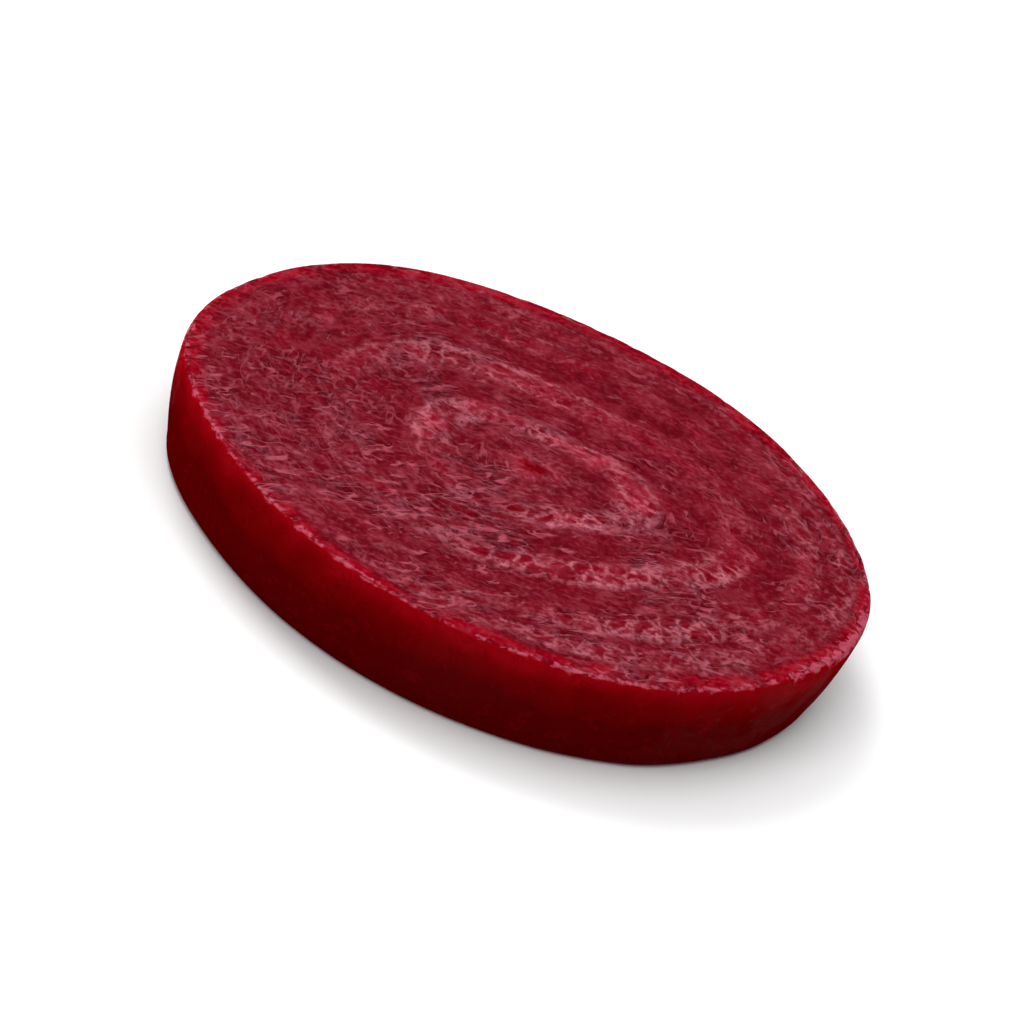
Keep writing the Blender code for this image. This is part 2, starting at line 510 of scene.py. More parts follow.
def rim_nick_depth(x, y, angle):
    """How deep the torn upper edge is nicked, at each place round the slice."""
    nicks = np.clip(smooth_noise(flat_points(x, y), RIM_NICK_CELL, SEED + 3), 0.0, 1.0)
    torn = bell(angle - TORN_ANGLE, TORN_HALF_ANGLE)
    return nicks * (RIM_NICK_DEPTH + TORN_NICK_DEPTH * torn)


def spread_rows(rows):
    """Radius, height, angle and row number of every point in the rows."""
    counts = [count for _, _, count in rows]
    radius = np.repeat([row_radius for row_radius, _, _ in rows], counts)
    z = np.repeat([row_height for _, row_height, _ in rows], counts)
    angle = np.concatenate([2.0 * math.pi * np.arange(count) / count for count in counts])
    return radius, z, turn_from(0.0, angle), np.repeat(np.arange(len(rows)), counts)


def cut_patterns(x, y, z, true_share, angle):
    """Height of the cut's fine relief, and the values and spaces of its patterns for the materials."""
    ring_space = np.stack([x, y, true_share * ROOT_RADIUS * STRAND_STRETCH], axis=1)
    scored = smooth_step(-SCORED_FROM, -SCORED_TO, -y / ROOT_RADIUS)
    strands = strand_crests(ring_space) * (1.0 - STRANDS_HIDDEN * scored)
    scores = score_crests(x, y) * scored
    spokes = spoke_crests(true_share, angle)
    clearness = ring_clearness(true_share, angle)
    lines = ring_lines(x, y, true_share) * clearness
    fine = STRAND_HEIGHT * np.maximum(strands, spokes) + SCORE_HEIGHT * scores
    fine += RING_LINE_HEIGHT * lines + PULP_HEIGHT * pulp_relief(x, y, z)
    looks = {
        "ring_share": true_share,
        "crest": np.maximum(np.maximum(strands, scores), spokes),
        "vein_bead": vein_beads(x, y, true_share, angle),
        "ring_clearness": clearness,
        "scored": scored,
        "ring_line": np.maximum(lines, SPOKE_PALENESS * spokes),
    }
    spaces = {"ring_space": ring_space, "vein_space": vein_space(true_share, angle)}
    return fine, looks, spaces


def slice_points(rows):
    """The place of every point of the slice, and the values and spaces that the materials read there."""
    radius, z, angle, row_number = spread_rows(rows)
    share = radius / ROOT_RADIUS
    stretch = 1.0 + wave_sum(OUTLINE_LOBES, angle) * share**2
    x, y = radius * stretch * np.cos(angle), radius * stretch * np.sin(angle)
    upper = row_number <= FACE_RINGS
    lower = row_number > LAST_SIDE_ROW
    side = ~(upper | lower)
    outline_share = np.where(lower, radius / side_radius(0.0), share)
    true_share = ring_shares(outline_share, angle)
    fine, looks, spaces = cut_patterns(x, y, z, true_share, angle)

    fade = 1.0 - smooth_step(*RELIEF_FADE, outline_share)
    rings = ring_relief(true_share, looks["vein_bead"])
    relief = (rings + knife_relief(x, y) + fine) * fade
    relief *= (node_high.z - SLICE_THICKNESS) / relief[upper].max()
    sunk = np.maximum((UNDERSIDE_DEPTH + GROWTH_RINGS[0][1] - rings - fine) * fade, 0.0)
    from_rim = np.hypot(radius - (UPPER_FLAT + UPPER_EDGE_RADIUS / 2), z - SLICE_THICKNESS)
    nick = rim_nick_depth(x, y, angle) * bell(from_rim, RIM_REACH)
    outwards = np.where(side, side_wave(x, y, z), 0.0) - nick
    z = z + np.where(upper, relief, 0.0) + np.where(lower, sunk, 0.0) - NICK_DROP * nick
    x, y = x + outwards * np.cos(angle), y + outwards * np.sin(angle)

    looks["fibre_density"] = fibre_density(x, y, true_share, looks["ring_clearness"])
    looks["rim_highlight_tint"] = rim_highlight_tint(x, y, from_rim, angle)
    looks["height_share"] = z / SLICE_THICKNESS
    looks["wetness"] = wetness(angle, z)
    return np.stack([fitted(x, 0), fitted(y, 1), z], axis=1), looks, spaces


def fitted(values, axis):
    """Scales places along an axis so that they fill the solid's box."""
    low, high = values.min(), values.max()
    return node_low[axis] + (values - low) * (node_high[axis] - node_low[axis]) / (high - low)


def beetroot_flesh():
    """The slice's dense surface, closed all round, with what its materials read."""
    rows = section_rows()
    places, looks, spaces = slice_points(rows)
    faces, material_index = slice_faces(rows)
    mesh = bpy.data.meshes.new("beetroot_slice_flesh")
    mesh.from_pydata(places.tolist(), [], faces.tolist())
    mesh.polygons.foreach_set("material_index", material_index.astype(np.int32))
    mesh.shade_smooth()
    for name, values in looks.items():
        mesh.attributes.new(name, "FLOAT", "POINT").data.foreach_set("value", values.astype(np.float32))
    for name, vectors in spaces.items():
        space = mesh.attributes.new(name, "FLOAT_VECTOR", "POINT")
        space.data.foreach_set("vector", vectors.astype(np.float32).ravel())
    mesh.materials.append(cut_face_material())
    mesh.materials.append(peeled_side_material())
    piece = bpy.data.objects.new("beetroot_slice_flesh", mesh)
    bpy.context.scene.collection.objects.link(piece)
    return piece


CORE_RED = (0.175, 0.0005, 0.0045, 1.0)
CORE_PINK = (0.225, 0.0120, 0.0250, 1.0)
BRIGHT_RED = (0.215, 0.0045, 0.0165, 1.0)
RING_PINK = (0.325, 0.0135, 0.0340, 1.0)
# The dusky flesh between the rings, with a painted mauve sheen in it.
DUSKY_RED = (0.142, 0.0036, 0.0108, 1.0)
SHADE_RED = (0.074, 0.0019, 0.0070, 1.0)
OUTER_RED = (0.172, 0.0013, 0.0085, 1.0)
VEIN_RED = (0.155, 0.0006, 0.0056, 1.0)
# Pale flesh, and the painted highlights on the cut face's raised grain, crests and fibres.
PALE_FLESH_AND_HIGHLIGHT_PINK = (0.415, 0.0740, 0.1100, 1.0)
LINE_PINK = (0.540, 0.1450, 0.1930, 1.0)
# The ragged upper edge's pale line, partly a painted highlight.
RIM_HIGHLIGHT_PINK = (0.430, 0.0700, 0.1100, 1.0)
# Painted shade in the cut face's creases, hollows and troughs, and its soft dark blotches.
CREASE_SHADE_AND_BLOTCH_RED = (0.064, 0.0005, 0.0028, 1.0)
# The peeled side's colours, with painted shade low down and a painted glow near the top.
SIDE_GLOW_RED = (0.240, 0.0008, 0.0040, 1.0)
SIDE_RED = (0.145, 0.0004, 0.0012, 1.0)
SIDE_SHADE_RED = (0.078, 0.0002, 0.0005, 1.0)
EDGE_RED = (0.245, 0.0010, 0.0085, 1.0)
JUICE_TINT = (1.0, 0.35, 0.40, 1.0)
FLOOR_GREY = (0.91, 0.91, 0.91, 1.0)
FLOOR_WHITE = (0.94, 0.94, 0.94, 1.0)
BLACK = (0.0, 0.0, 0.0, 1.0)
WHITE = (1.0, 1.0, 1.0, 1.0)

# The flesh's colours from the core to the edge, each with its share of the outline.
RING_COLOURS = (
    (0.000, CORE_RED),
    (0.028, CORE_RED),
    (0.048, CORE_PINK),
    (0.090, DUSKY_RED),
    (0.190, DUSKY_RED),
    (0.235, RING_PINK),
    (0.310, RING_PINK),
    (0.360, DUSKY_RED),
    (0.470, DUSKY_RED),
    (0.520, BRIGHT_RED),
    (0.600, BRIGHT_RED),
    (0.640, DUSKY_RED),
    (0.725, DUSKY_RED),
    (0.755, BRIGHT_RED),
    (0.780, OUTER_RED),
    (0.810, DUSKY_RED),
    (0.860, DUSKY_RED),
    (0.885, OUTER_RED),
    (0.905, DUSKY_RED),
    (0.930, OUTER_RED),
    (0.960, EDGE_RED),
    (1.000, EDGE_RED),
)
# The side's colours, each with its share of the height: painted shade darkens the lower side, and a painted
# glow of light through the thin upper edge brightens its top.
SIDE_COLOURS = (
    (0.05, SIDE_SHADE_RED),
    (0.50, SIDE_SHADE_RED),
    (0.80, SIDE_RED),
    (0.95, SIDE_GLOW_RED),
)

# A ring's colours begin at the first of these, in half widths from its middle, and are full at the second.
RING_MASK_EDGES = (1.5, 0.8)
RING_STRAY = 0.09
# Shares of the outline between which the core ends, the haze starts and ends, and the inner ring ends.
CORE_EDGE = (0.025, 0.050)
HAZE_START = (0.06, 0.12)
HAZE_END = (0.93, 0.96)
INNER_RING_END = (0.32, 0.42)
# A pale stroke crosses a ring wherever its beads have this value.
STROKE_BEAD = 0.12
BLUR_CELL = 2.0 * MM
UNEVEN_CELL = 3.2 * MM
PIT_SIZE = 1.7 * MM
PIT_BEND = 1.1
PIT_RANDOMNESS = 0.9
FACE_GRAIN_SIZE = 0.50 * MM
FACE_DAMP_SIZE = 5.0 * MM
FACE_BUMP_DEPTH = 0.11 * MM
FACE_SUBSURFACE = 0.12
FACE_LIGHT_DEPTH = 0.6 * MM
# Roughness where the film of juice is thin, and where it is thick.
FACE_ROUGHNESS = (0.50, 0.34)
WET_FIBRES = 0.40
WET_SPECKS = 0.10
GRAIN_RELIEF = 0.6
# Length and width of the fibres that stand out of the face.
SCORE_FIBRE = (2.3 * MM, 0.95 * MM)
STRAND_FIBRE = (2.2 * MM, 2.2 * MM)
HAIR_FIBRE = (1.7 * MM, 0.80 * MM)
HAIR_ANGLE = 0.6 * SCORE_ANGLE

# How strongly each layer of the cut face's colour shows, up to 1. The hollows, troughs and creases are
# painted shade, and the pale grain and the relief's crests are painted highlights.
DUSKY_HAZE_AND_SHEEN = 0.8
SHADE = 0.9
RED_BEADS = 0.90
PALE_BEADS = 0.15
HOLLOW_SHADE = 0.35
GRAIN_HIGHLIGHT = 0.09
TROUGH_SHADE = 0.45
DARK_BLUR = 0.38
PALE_BLUR = 0.10
HAIRS = 0.3
CREASE_SHADE = 0.8
RELIEF_HIGHLIGHT = 0.24
FIBRES_UNSCORED, FIBRES_SCORED = 0.45, 0.72
STROKES_OUTER, STROKES_INNER = 0.30, 0.40
RING_PITS = 0.95
SCUFF_PITS = 0.60
SCUFF_WALLS = 0.12
# The rings are clear of this share of the fibres.
RING_CLEARING = 0.55

SIDE_GRAIN_SIZE = 0.9 * MM
SIDE_DAMP_SIZE = 9.0 * MM
SIDE_MOTTLE_CELL = 4.0 * MM
SIDE_MOTTLE = 0.07
PEEL_FIBRE = (1.0 * MM, 1.0 * MM)
PEEL_FIBRE_DENSITY = 0.55
# The creases beside the peel's fibres are darkened as painted shade.
PEEL_CREASE_SHADE = 0.22
PEEL_FIBRES = 0.16
JUICE_RUN_CELL = 0.8 * MM
JUICE_SPREAD = 0.30
SIDE_FILM = 0.03
SIDE_BUMP_DEPTH = 0.10 * MM
SIDE_SUBSURFACE = 0.7
SIDE_LIGHT_DEPTH = 1.5 * MM
SIDE_ROUGHNESS = (0.42, 0.28)

NODE_SPACING = 200


def add_node(tree, kind, inputs=None, **settings):
    """Adds a node, sets its properties, and sets or links its inputs."""
    made = tree.nodes.new(kind)
    made.location = (NODE_SPACING * len(tree.nodes), 0)
    for name, value in settings.items():
        setattr(made, name, value)
    for key, value in (inputs or {}).items():
        if isinstance(value, bpy.types.NodeSocket):
            tree.links.new(value, made.inputs[key])
        else:
            made.inputs[key].default_value = value
    return made


def maths(tree, operation, *values):
    """Values joined by one operation, from the first to the last."""
    result = values[0]
    for value in values[1:]:
        result = add_node(tree, "ShaderNodeMath", {0: result, 1: value}, operation=operation).outputs[0]
    return result


def distance_from(tree, centre, value):
    offset = maths(tree, "SUBTRACT", value, centre)
    return add_node(tree, "ShaderNodeMath", {0: offset}, operation="ABSOLUTE").outputs[0]


def vector_maths(tree, operation, a, key, b):
    """A vector joined with another vector (key 1) or scaled by a value (key "Scale")."""
    return add_node(tree, "ShaderNodeVectorMath", {0: a, key: b}, operation=operation).outputs[0]


def blended(tree, share, a, b):
    """Colour a turned towards colour b by a share."""
    return add_node(tree, "ShaderNodeMix", {0: share, 6: a, 7: b}, data_type="RGBA").outputs[2]


def layered(tree, colour, layers):
    """A colour with the layers laid over it in turn, each a mask and a colour."""
    for mask, tint in layers:
        colour = blended(tree, mask, colour, tint)
    return colour


def ranged(tree, value, low, high, to_low=0.0, to_high=1.0):
    """A value's range turned smoothly into another one."""
    inputs = {"Value": value, "From Min": low, "From Max": high, "To Min": to_low, "To Max": to_high}
    return add_node(tree, "ShaderNodeMapRange", inputs, interpolation_type="SMOOTHSTEP").outputs["Result"]


def noise(tree, place, cell, detail):
    """Smooth noise round 0.5, in patches of about a cell's size."""
    inputs = {"Vector": place, "Scale": 1 / cell, "Detail": detail}
    return add_node(tree, "ShaderNodeTexNoise", inputs).outputs["Fac"]


def attribute(tree, name, output="Fac"):
    made = add_node(tree, "ShaderNodeAttribute", attribute_name=name, attribute_type="GEOMETRY")
    return made.outputs[output]


def ramp(tree, value, stops):
    """A colour ramp with stops of (position, colour)."""
    made = add_node(tree, "ShaderNodeValToRGB", {"Fac": value})
    elements = made.color_ramp.elements
    while len(elements) < len(stops):
        elements.new(0.5)
    for element, (position, colour) in zip(elements, stops):
        element.position = position
        element.color = colour
    return made.outputs["Color"]


def new_group(name, inputs, outputs):
    """(group, its inputs, its output node) of a shader node group with named sockets."""
    group = bpy.data.node_groups.new(name, "ShaderNodeTree")
    for socket, kind in inputs.items():
        group.interface.new_socket(socket, in_out="INPUT", socket_type=kind)
    for socket, kind in outputs.items():
        group.interface.new_socket(socket, in_out="OUTPUT", socket_type=kind)
    return group, group.nodes.new("NodeGroupInput").outputs, group.nodes.new("NodeGroupOutput")


def place_group(tree, group, **inputs):
    """The outputs of a group placed in a material, with its inputs named after its sockets."""
    sockets = {name.replace("_", " "): value for name, value in inputs.items()}
    return add_node(tree, "ShaderNodeGroup", sockets, node_tree=group).outputs


def fine_grain_group():
    """Fine grain of flesh: its height, and a mask of the specks that catch light."""
    group, given, made = new_group(
        "fine_grain",
        {"Place": "NodeSocketVector", "Grain Size": "NodeSocketFloat"},
        {"Height": "NodeSocketFloat", "Specks": "NodeSocketFloat"},
    )
    scale = maths(group, "DIVIDE", 1.0, given["Grain Size"])
    grain = add_node(group, "ShaderNodeTexNoise", {"Vector": given["Place"], "Scale": scale, "Detail": 3.0})
    cells = add_node(group, "ShaderNodeTexVoronoi", {"Vector": given["Place"], "Scale": scale})
    group.links.new(grain.outputs["Fac"], made.inputs["Height"])
    group.links.new(ranged(group, cells.outputs["Distance"], 0.45, 0.15), made.inputs["Specks"])
    return group


def fibre_flecks_group():
    """Short wavy fibres that stand out of the flesh, each with a crease beside it, which the materials
    darken as painted shade.
    """
    group, given, made = new_group(
        "fibre_flecks",
        {
            "Place": "NodeSocketVector",
            "Fibre Length": "NodeSocketFloat",
            "Fibre Width": "NodeSocketFloat",
            "Direction": "NodeSocketFloat",
            "Density": "NodeSocketFloat",
        },
        {"Fibres": "NodeSocketFloat", "Creases": "NodeSocketFloat"},
    )
    lengthwise = {0: given["Fibre Length"], 1: given["Fibre Width"], 2: given["Fibre Width"]}
    size = add_node(group, "ShaderNodeCombineXYZ", lengthwise).outputs[0]
    turn = add_node(group, "ShaderNodeCombineXYZ", {2: given["Direction"]}).outputs[0]
    turned = {"Vector": given["Place"], "Rotation": turn, "Scale": size}
    cells = add_node(group, "ShaderNodeMapping", turned, vector_type="TEXTURE").outputs[0]
    waves = {"Vector": cells, "Scale": 1.0, "Detail": 1.2, "Roughness": 0.35, "Distortion": 0.5}
    wavy = add_node(group, "ShaderNodeTexNoise", waves).outputs["Fac"]
    gaps = add_node(group, "ShaderNodeTexNoise", {"Vector": cells, "Scale": 0.8, "Detail": 1.0})
    kept_from = ranged(group, given["Density"], 0.0, 1.0, 0.60, 0.38)
    kept = ranged(group, gaps.outputs["Fac"], kept_from, maths(group, "ADD", kept_from, 0.10))
    fibres = maths(group, "MULTIPLY", ranged(group, distance_from(group, 0.50, wavy), 0.080, 0.005), kept)
    creases = maths(group, "MULTIPLY", ranged(group, distance_from(group, 0.59, wavy), 0.065, 0.005), kept)
    group.links.new(fibres, made.inputs["Fibres"])
    group.links.new(creases, made.inputs["Creases"])
    return group


def pit_net_group():
    """Pits of dark flesh, and the pale walls between them."""
    group, given, made = new_group(
        "pit_net",
        {"Place": "NodeSocketVector", "Pit Size": "NodeSocketFloat"},
        {"Pits": "NodeSocketFloat", "Walls": "NodeSocketFloat"},
    )
    scale = maths(group, "DIVIDE", 1.0, given["Pit Size"])
    reach = maths(group, "MULTIPLY", given["Pit Size"], PIT_BEND)
    bend = add_node(group, "ShaderNodeTexNoise", {"Vector": given["Place"], "Scale": scale, "Detail": 0.5})
    centred = vector_maths(group, "SUBTRACT", bend.outputs["Color"], 1, (0.5, 0.5, 0.5))
    shift = vector_maths(group, "SCALE", centred, "Scale", reach)
    bent = vector_maths(group, "ADD", given["Place"], 1, shift)
    cells = {"Vector": bent, "Scale": scale, "Randomness": PIT_RANDOMNESS}
    middles = add_node(group, "ShaderNodeTexVoronoi", cells).outputs["Distance"]
    edges = add_node(group, "ShaderNodeTexVoronoi", cells, feature="DISTANCE_TO_EDGE").outputs["Distance"]
    group.links.new(ranged(group, middles, 0.60, 0.28), made.inputs["Pits"])
    group.links.new(ranged(group, edges, 0.20, 0.04), made.inputs["Walls"])
    return group


def damp_patches_group():
    """Where the film of juice lies thick, as a mask that wanders over the slice."""
    group, given, made = new_group(
        "damp_patches",
        {"Place": "NodeSocketVector", "Patch Size": "NodeSocketFloat"},
        {"Damp": "NodeSocketFloat"},
    )
    scale = maths(group, "DIVIDE", 1.0, given["Patch Size"])
    patches = {"Vector": given["Place"], "Scale": scale, "Detail": 4.0, "Roughness": 0.6}
    film = add_node(group, "ShaderNodeTexNoise", patches)
    group.links.new(ranged(group, film.outputs["Fac"], 0.35, 0.65), made.inputs["Damp"])
    return group


fine_grain = fine_grain_group()
fibre_flecks = fibre_flecks_group()
pit_net = pit_net_group()
damp_patches = damp_patches_group()


def new_material(name):
    material = bpy.data.materials.new(name)
    material.use_nodes = True
    tree = material.node_tree
    shader = tree.nodes["Principled BSDF"]
    place = add_node(tree, "ShaderNodeTexCoord").outputs["Object"]
    return material, tree, shader, place


def set_flesh_optics(shader, subsurface, depth):
    """Cooked flesh lets red light run through it, and its film of juice tints what it reflects."""
    shader.inputs["Subsurface Weight"].default_value = subsurface
    shader.inputs["Subsurface Radius"].default_value = (1.0, 0.08, 0.10)
    shader.inputs["Subsurface Scale"].default_value = depth
    shader.inputs["Specular IOR Level"].default_value = 0.0
    shader.inputs["Specular Tint"].default_value = JUICE_TINT
    shader.inputs["Coat Roughness"].default_value = 0.22
    shader.inputs["Coat IOR"].default_value = 1.33


def bumped(tree, shader, height, strength, depth):
    """Bends the surface's normals by a height."""
    bump = add_node(tree, "ShaderNodeBump", {"Height": height, "Strength": strength, "Distance": depth})
    tree.links.new(bump.outputs["Normal"], shader.inputs["Normal"])


def ragged_rim(tree, grain):
    """A mask of the pale, ragged line along the upper edge, partly pale torn flesh and partly a painted
    highlight.
    """
    raggedness = maths(tree, "MULTIPLY", maths(tree, "SUBTRACT", grain["Height"], 0.5), 1.6)
    tint = attribute(tree, "rim_highlight_tint")
    ragged = ranged(tree, maths(tree, "ADD", tint, raggedness), 0.25, 0.70, 0.0, 0.9)
    return maths(tree, "MULTIPLY", ragged, ranged(tree, tint, 0.02, 0.15))


def ring_mask_stops():
    """Stops that are white on the growth rings and black between them."""
    begin, full = RING_MASK_EDGES
    stops = [(0.0, BLACK)]
    for ring_share, _, half_width in GROWTH_RINGS:
        stops.append((ring_share - begin * half_width, BLACK))
        stops.append((ring_share - full * half_width, WHITE))
        stops.append((ring_share + full * half_width, WHITE))
        stops.append((ring_share + begin * half_width, BLACK))
    return stops


def ring_mask(tree, face):
    """Where the growth rings show, straying in and out a little, and uneven along their length."""
    strayed_share = maths(tree, "ADD", face.share, maths(tree, "MULTIPLY", face.stray, 0.5))
    in_ring = ramp(tree, strayed_share, ring_mask_stops())
    uneven = ranged(tree, noise(tree, face.place, UNEVEN_CELL, 2.0), 0.38, 0.56, 0.35, 1.0)
    return maths(tree, "MULTIPLY", in_ring, attribute(tree, "ring_clearness"), uneven)


def flecks(tree, space, size, direction, density):
    """The masks of fibres and creases, for fibres of a (length, width)."""
    length, width = size
    return place_group(
        tree,
        fibre_flecks,
        Place=space,
        Fibre_Length=length,
        Fibre_Width=width,
        Direction=direction,
        Density=density,
    )


def fibre_masks(tree, face):
    """(fibres, creases) of the scores, the strands round the rings and the hairs over both."""
    scores = flecks(tree, face.place, SCORE_FIBRE, SCORE_ANGLE, face.density)
    strands = flecks(tree, attribute(tree, "ring_space", "Vector"), STRAND_FIBRE, 0.0, face.density)
    hairs = flecks(tree, face.place, HAIR_FIBRE, HAIR_ANGLE, face.density)
    unscored = maths(tree, "SUBTRACT", 1.0, maths(tree, "MULTIPLY", face.scored, STRANDS_HIDDEN))
    kept = maths(tree, "MULTIPLY", face.outside_core, face.beside_rings)
    masks = []
    for output in ("Fibres", "Creases"):
        crossed = maths(tree, "MULTIPLY", scores[output], face.scored)
        ringed = maths(tree, "MULTIPLY", strands[output], unscored)
        fine = maths(tree, "MULTIPLY", hairs[output], HAIRS)
        masks.append(maths(tree, "MULTIPLY", maths(tree, "MAXIMUM", crossed, ringed, fine), kept))
    return masks


def face_patterns(tree, place):
    """The values and masks that several layers of the cut face share."""
    face = SimpleNamespace(place=place)
    face.share = attribute(tree, "ring_share")
    face.crest = attribute(tree, "crest")
    face.bead = attribute(tree, "vein_bead")
    face.density = attribute(tree, "fibre_density")
    face.scored = attribute(tree, "scored")
    face.grain = place_group(tree, fine_grain, Place=place, Grain_Size=FACE_GRAIN_SIZE)
    face.blur = noise(tree, place, BLUR_CELL, 3.0)
    face.stray = maths(tree, "MULTIPLY", maths(tree, "SUBTRACT", face.blur, 0.5), RING_STRAY)
    face.outside_core = ranged(tree, face.share, *CORE_EDGE)
    face.roughened = ranged(tree, face.density, 0.0, 0.8, 0.30, 0.9)
    face.in_ring = ring_mask(tree, face)
    face.beside_rings = maths(tree, "SUBTRACT", 1.0, maths(tree, "MULTIPLY", face.in_ring, RING_CLEARING))
    face.fibres, face.creases = fibre_masks(tree, face)
    face.walls, face.pits = net_masks(tree, face)
    return face


def net_masks(tree, face):
    """(walls, pits) of the net along the rings, with pits and few walls where fibres lie thick too."""
    space = attribute(tree, "vein_space", "Vector")
    net = place_group(tree, pit_net, Place=space, Pit_Size=PIT_SIZE)
    netted = maths(tree, "MULTIPLY", face.in_ring, ranged(tree, face.density, 0.0, 0.4, 0.15, 1.0))
    scuffed = maths(tree, "MULTIPLY", ranged(tree, face.density, 0.35, 0.75), face.outside_core)
    walled = maths(tree, "MAXIMUM", netted, maths(tree, "MULTIPLY", scuffed, SCUFF_WALLS))
    broken = ranged(tree, face.grain["Height"], 0.38, 0.60, 0.15, 0.68)
    ring_pits = maths(tree, "MULTIPLY", netted, RING_PITS)
    pitted = maths(tree, "MAXIMUM", ring_pits, maths(tree, "MULTIPLY", scuffed, SCUFF_PITS))
    walls = maths(tree, "MULTIPLY", net["Walls"], walled, broken)
    return walls, maths(tree, "MULTIPLY", net["Pits"], pitted)


def flesh_layers(tree, face):
    """The haze between the rings, partly the flesh's dusky tone and partly a painted sheen, the shade where
    fibres lie thick, and the beads along the rings.
    """
    between = maths(tree, "SUBTRACT", 1.0, face.in_ring)
    from_core = ranged(tree, face.share, *HAZE_START, 0.0, DUSKY_HAZE_AND_SHEEN)
    from_edge = ranged(tree, face.share, *HAZE_END, 1.0, 0.0)
    red_beads = ranged(tree, face.bead, 0.0, -0.3, 0.0, RED_BEADS)
    pale_beads = ranged(tree, face.bead, 0.1, 0.5, 0.0, PALE_BEADS)
    return [
        (maths(tree, "MULTIPLY", between, from_core, from_edge), DUSKY_RED),
        (ranged(tree, face.density, 0.35, 0.85, 0.0, SHADE), SHADE_RED),
        (maths(tree, "MULTIPLY", red_beads, face.in_ring), VEIN_RED),
        (maths(tree, "MULTIPLY", pale_beads, face.in_ring), PALE_FLESH_AND_HIGHLIGHT_PINK),
    ]


def grain_layers(tree, face):
    """Painted shade in the hollows of the grain, painted highlights on its pale specks, painted shade in the
    troughs of the relief, and soft blotches.
    """
    hollows = ranged(tree, face.grain["Height"], 0.50, 0.34, 0.0, HOLLOW_SHADE)
    troughs = ranged(tree, face.crest, 0.25, 0.0, 0.0, TROUGH_SHADE)
    return [
        (maths(tree, "MULTIPLY", hollows, face.roughened), CREASE_SHADE_AND_BLOTCH_RED),
        (ranged(tree, face.grain["Height"], 0.48, 0.66, 0.0, GRAIN_HIGHLIGHT), PALE_FLESH_AND_HIGHLIGHT_PINK),
        (maths(tree, "MULTIPLY", troughs, face.roughened), CREASE_SHADE_AND_BLOTCH_RED),
        (ranged(tree, face.blur, 0.52, 0.36, 0.0, DARK_BLUR), CREASE_SHADE_AND_BLOTCH_RED),
        (ranged(tree, face.blur, 0.50, 0.66, 0.0, PALE_BLUR), PALE_FLESH_AND_HIGHLIGHT_PINK),
    ]


def fibre_layers(tree, face):
    """Painted shade in the creases, painted highlights on the crests of the relief, the fibres, pale partly
    as a painted highlight, and the pale strokes across the rings.
    """
    clearness = ranged(tree, face.scored, 0.0, 1.0, FIBRES_UNSCORED, FIBRES_SCORED)
    crests = ranged(tree, face.crest, 0.40, 1.0, 0.0, RELIEF_HIGHLIGHT)
    strokes = ranged(tree, distance_from(tree, STROKE_BEAD, face.bead), 0.15, 0.03)
    strokes = maths(tree, "MULTIPLY", strokes, face.in_ring)
    inner_ring = ranged(tree, face.share, *INNER_RING_END, 1.0, 0.0)
    stroke_clearness = ranged(tree, inner_ring, 0.0, 1.0, STROKES_OUTER, STROKES_INNER)
    unbroken = ranged(tree, face.grain["Height"], 0.40, 0.55)
    return [
        (maths(tree, "MULTIPLY", face.creases, clearness, CREASE_SHADE), CREASE_SHADE_AND_BLOTCH_RED),
        (maths(tree, "MULTIPLY", crests, face.roughened, face.beside_rings), PALE_FLESH_AND_HIGHLIGHT_PINK),
        (maths(tree, "MULTIPLY", face.fibres, clearness), PALE_FLESH_AND_HIGHLIGHT_PINK),
        (maths(tree, "MULTIPLY", strokes, stroke_clearness, unbroken), LINE_PINK),
    ]


def top_layers(tree, face):
    """The net of pits and walls, the pale lines at the rings' edges, and the ragged rim."""
    grainy = maths(tree, "ADD", face.grain["Height"], face.fibres)
    broken = ranged(tree, grainy, 0.42, 0.60, 0.25, 0.85)
    beaded = ranged(tree, face.bead, -0.25, 0.25, 0.3, 1.0)
    return [
        (face.pits, VEIN_RED),
        (face.walls, LINE_PINK),
        (maths(tree, "MULTIPLY", attribute(tree, "ring_line"), broken, beaded), LINE_PINK),
        (ragged_rim(tree, face.grain), RIM_HIGHLIGHT_PINK),
    ]


def cut_face_material():
    material, tree, shader, place = new_material("cut_beetroot_face")
    set_flesh_optics(shader, FACE_SUBSURFACE, FACE_LIGHT_DEPTH)
    face = face_patterns(tree, place)
    flesh = ramp(tree, maths(tree, "ADD", face.share, face.stray), RING_COLOURS)
    layers = flesh_layers(tree, face) + grain_layers(tree, face)
    layers += fibre_layers(tree, face) + top_layers(tree, face)
    tree.links.new(layered(tree, flesh, layers), shader.inputs["Base Color"])

    damp = place_group(tree, damp_patches, Place=place, Patch_Size=FACE_DAMP_SIZE)["Damp"]
    tree.links.new(ranged(tree, damp, 0.0, 1.0, *FACE_ROUGHNESS), shader.inputs["Roughness"])
    wet_fibres = maths(tree, "MULTIPLY", face.fibres, WET_FIBRES)
    wet_specks = maths(tree, "MULTIPLY", face.grain["Specks"], WET_SPECKS)
    glints = maths(tree, "ADD", wet_fibres, wet_specks)
    tree.links.new(maths(tree, "MULTIPLY", glints, damp), shader.inputs["Coat Weight"])
    grain_height = maths(tree, "MULTIPLY", face.grain["Height"], GRAIN_RELIEF)
    raised = maths(tree, "ADD", grain_height, face.fibres, face.walls)
    height = maths(tree, "SUBTRACT", raised, face.creases)
    bumped(tree, shader, height, 0.9, FACE_BUMP_DEPTH)
    return material


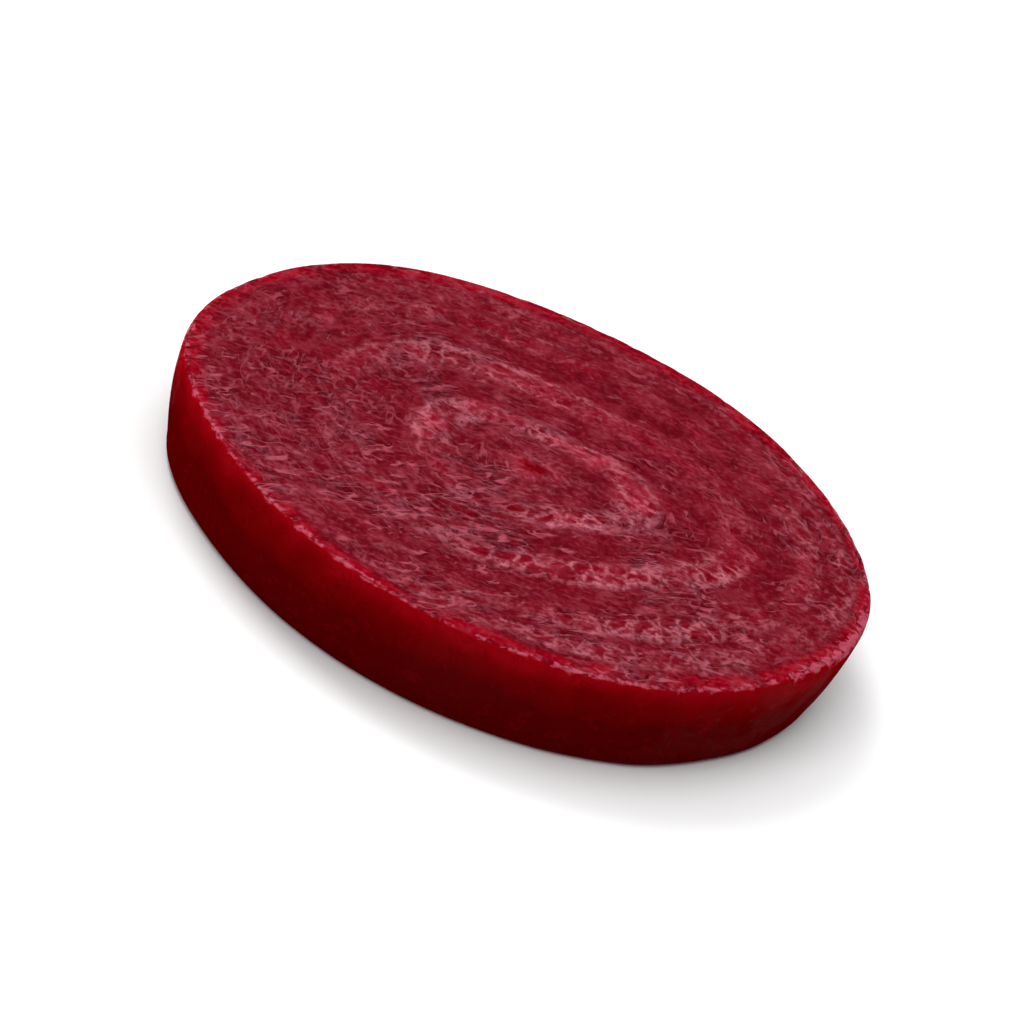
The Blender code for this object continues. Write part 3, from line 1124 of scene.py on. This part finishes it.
def peeled_side_material():
    material, tree, shader, place = new_material("peeled_beetroot_side")
    set_flesh_optics(shader, SIDE_SUBSURFACE, SIDE_LIGHT_DEPTH)
    grain = place_group(tree, fine_grain, Place=place, Grain_Size=SIDE_GRAIN_SIZE)
    peel = flecks(tree, place, PEEL_FIBRE, 0.0, PEEL_FIBRE_DENSITY)
    mottle = ranged(tree, noise(tree, place, SIDE_MOTTLE_CELL, 5.0), 0.3, 0.7, -SIDE_MOTTLE, SIDE_MOTTLE)
    # The side is painted darker towards the floor as shade and brighter towards the top as a glow.
    lightness = maths(tree, "ADD", mottle, attribute(tree, "height_share"))
    layers = [
        (maths(tree, "MULTIPLY", peel["Creases"], PEEL_CREASE_SHADE), SIDE_SHADE_RED),
        (maths(tree, "MULTIPLY", peel["Fibres"], PEEL_FIBRES), SIDE_GLOW_RED),
        (ragged_rim(tree, grain), RIM_HIGHLIGHT_PINK),
    ]
    colour = layered(tree, ramp(tree, lightness, SIDE_COLOURS), layers)
    tree.links.new(colour, shader.inputs["Base Color"])

    damp = place_group(tree, damp_patches, Place=place, Patch_Size=SIDE_DAMP_SIZE)["Damp"]
    tree.links.new(ranged(tree, damp, 0.0, 1.0, *SIDE_ROUGHNESS), shader.inputs["Roughness"])
    juice = attribute(tree, "wetness")
    runs = noise(tree, place, JUICE_RUN_CELL, 2.0)
    filled = maths(tree, "ADD", runs, maths(tree, "MULTIPLY", juice, JUICE_SPREAD))
    wet = maths(tree, "MULTIPLY", juice, ranged(tree, filled, 0.62, 0.70))
    film = ranged(tree, damp, 0.6, 1.0, 0.0, SIDE_FILM)
    tree.links.new(maths(tree, "ADD", film, wet), shader.inputs["Coat Weight"])
    height = maths(tree, "SUBTRACT", maths(tree, "ADD", grain["Height"], peel["Fibres"]), peel["Creases"])
    bumped(tree, shader, height, 0.50, SIDE_BUMP_DEPTH)
    return material


def floor_material():
    material, tree, shader, place = new_material("pale_studio_floor")
    colour = blended(tree, noise(tree, place, FLOOR_CELL, 3.0), FLOOR_GREY, FLOOR_WHITE)
    tree.links.new(colour, shader.inputs["Base Color"])
    shader.inputs["Roughness"].default_value = 0.6
    shader.inputs["Specular IOR Level"].default_value = 0.2
    return material


def studio_floor():
    bpy.ops.mesh.primitive_circle_add(vertices=96, radius=FLOOR_RADIUS, fill_type="NGON")
    floor = bpy.context.object
    floor.name = "studio_floor"
    floor.data.materials.append(floor_material())


def softbox(name, place, width, power):
    """A square area light that faces the slice."""
    light = bpy.data.lights.new(name, "AREA")
    light.shape = "SQUARE"
    light.size = width
    light.energy = power
    lamp = bpy.data.objects.new(name, light)
    lamp.location = place
    lamp.rotation_euler = (-Vector(place)).to_track_quat("-Z", "Y").to_euler()
    bpy.context.scene.collection.objects.link(lamp)


def studio_light():
    world = bpy.data.worlds.new("white_surroundings")
    world.use_nodes = True
    background = world.node_tree.nodes["Background"]
    background.inputs["Color"].default_value = WHITE
    background.inputs["Strength"].default_value = SURROUNDINGS_STRENGTH
    bpy.context.scene.world = world
    for name, place, width, power in SOFTBOXES:
        softbox(name, place, width, power)
    bpy.context.scene.view_settings.view_transform = "Standard"


def photo_camera():
    """Looks at the slice from the photo's angle, with the slice over most of the frame."""
    data = bpy.data.cameras.new("photo_camera")
    data.sensor_width = SENSOR_WIDTH
    slice_length = node_high.x - node_low.x
    data.lens = SENSOR_WIDTH * SLICE_SHARE_OF_FRAME * VIEW_DISTANCE / slice_length
    data.clip_start = NEAREST_SEEN
    camera = bpy.data.objects.new("photo_camera", data)
    back = Vector((0.0, -math.cos(VIEW_ELEVATION), math.sin(VIEW_ELEVATION)))
    centre = (node_low + node_high) / 2
    camera.location = centre + back * VIEW_DISTANCE
    camera.rotation_mode = "QUATERNION"
    level = (-back).to_track_quat("-Z", "Y")
    camera.rotation_quaternion = level @ Quaternion((0.0, 0.0, 1.0), VIEW_ROLL)
    bpy.context.scene.collection.objects.link(camera)
    bpy.context.scene.camera = camera


flesh = beetroot_flesh()
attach(flesh, "root")
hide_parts(NODE)
studio_floor()
studio_light()
photo_camera()
